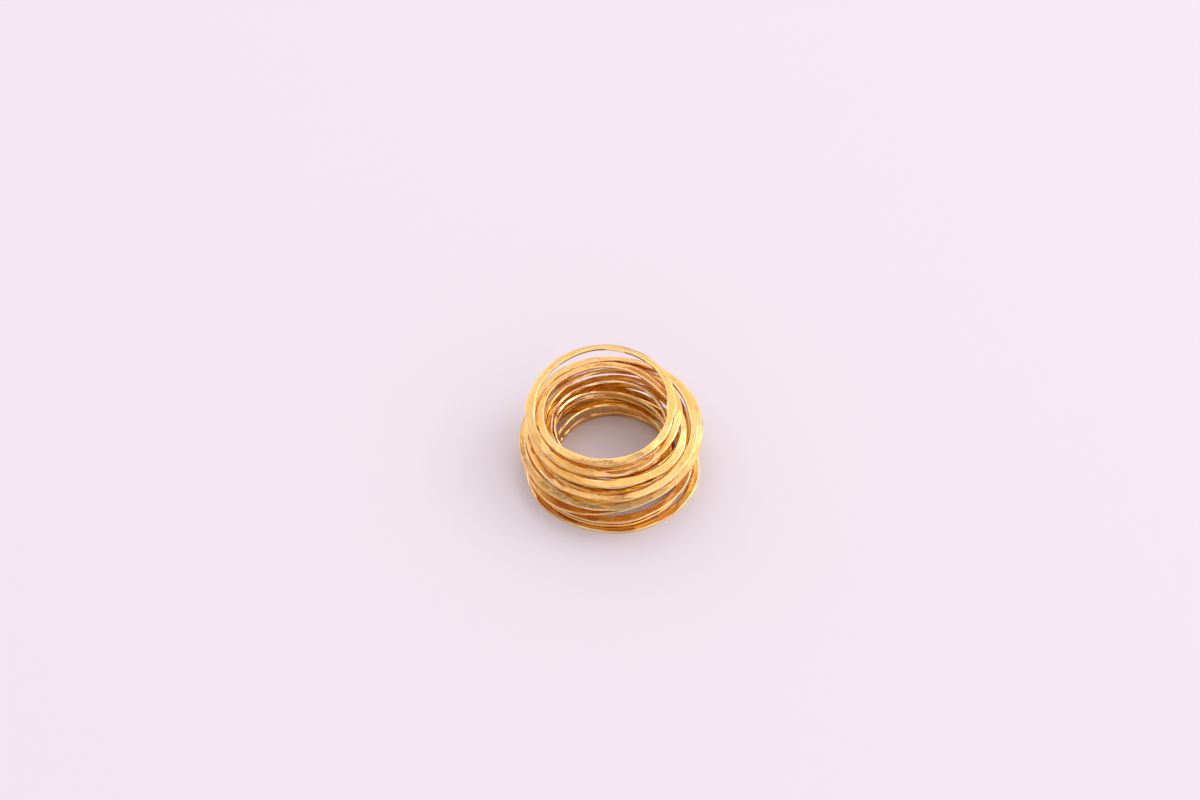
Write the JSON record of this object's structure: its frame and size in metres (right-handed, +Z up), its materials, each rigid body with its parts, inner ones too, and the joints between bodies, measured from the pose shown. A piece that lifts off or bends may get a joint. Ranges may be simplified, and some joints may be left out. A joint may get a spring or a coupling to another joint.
{
  "type": "wire wrap ring",
  "caption": "Finger ring wound as a loose nest from one long hammered gold-coloured wire, lying on its side with the finger hole upright.",
  "frame": {"origin": "middle of the bottom of the nest, on the plane that the ring rests on", "axes": "+Z up along the finger hole, -Y towards the side where the upper turns come forward and low"},
  "size_m": [0.0284, 0.0286, 0.013],
  "materials": {
    "gold": "satin"
  },
  "bodies": {
    "root": {"wound_wire": "gold"}
  },
  "joints": []
}
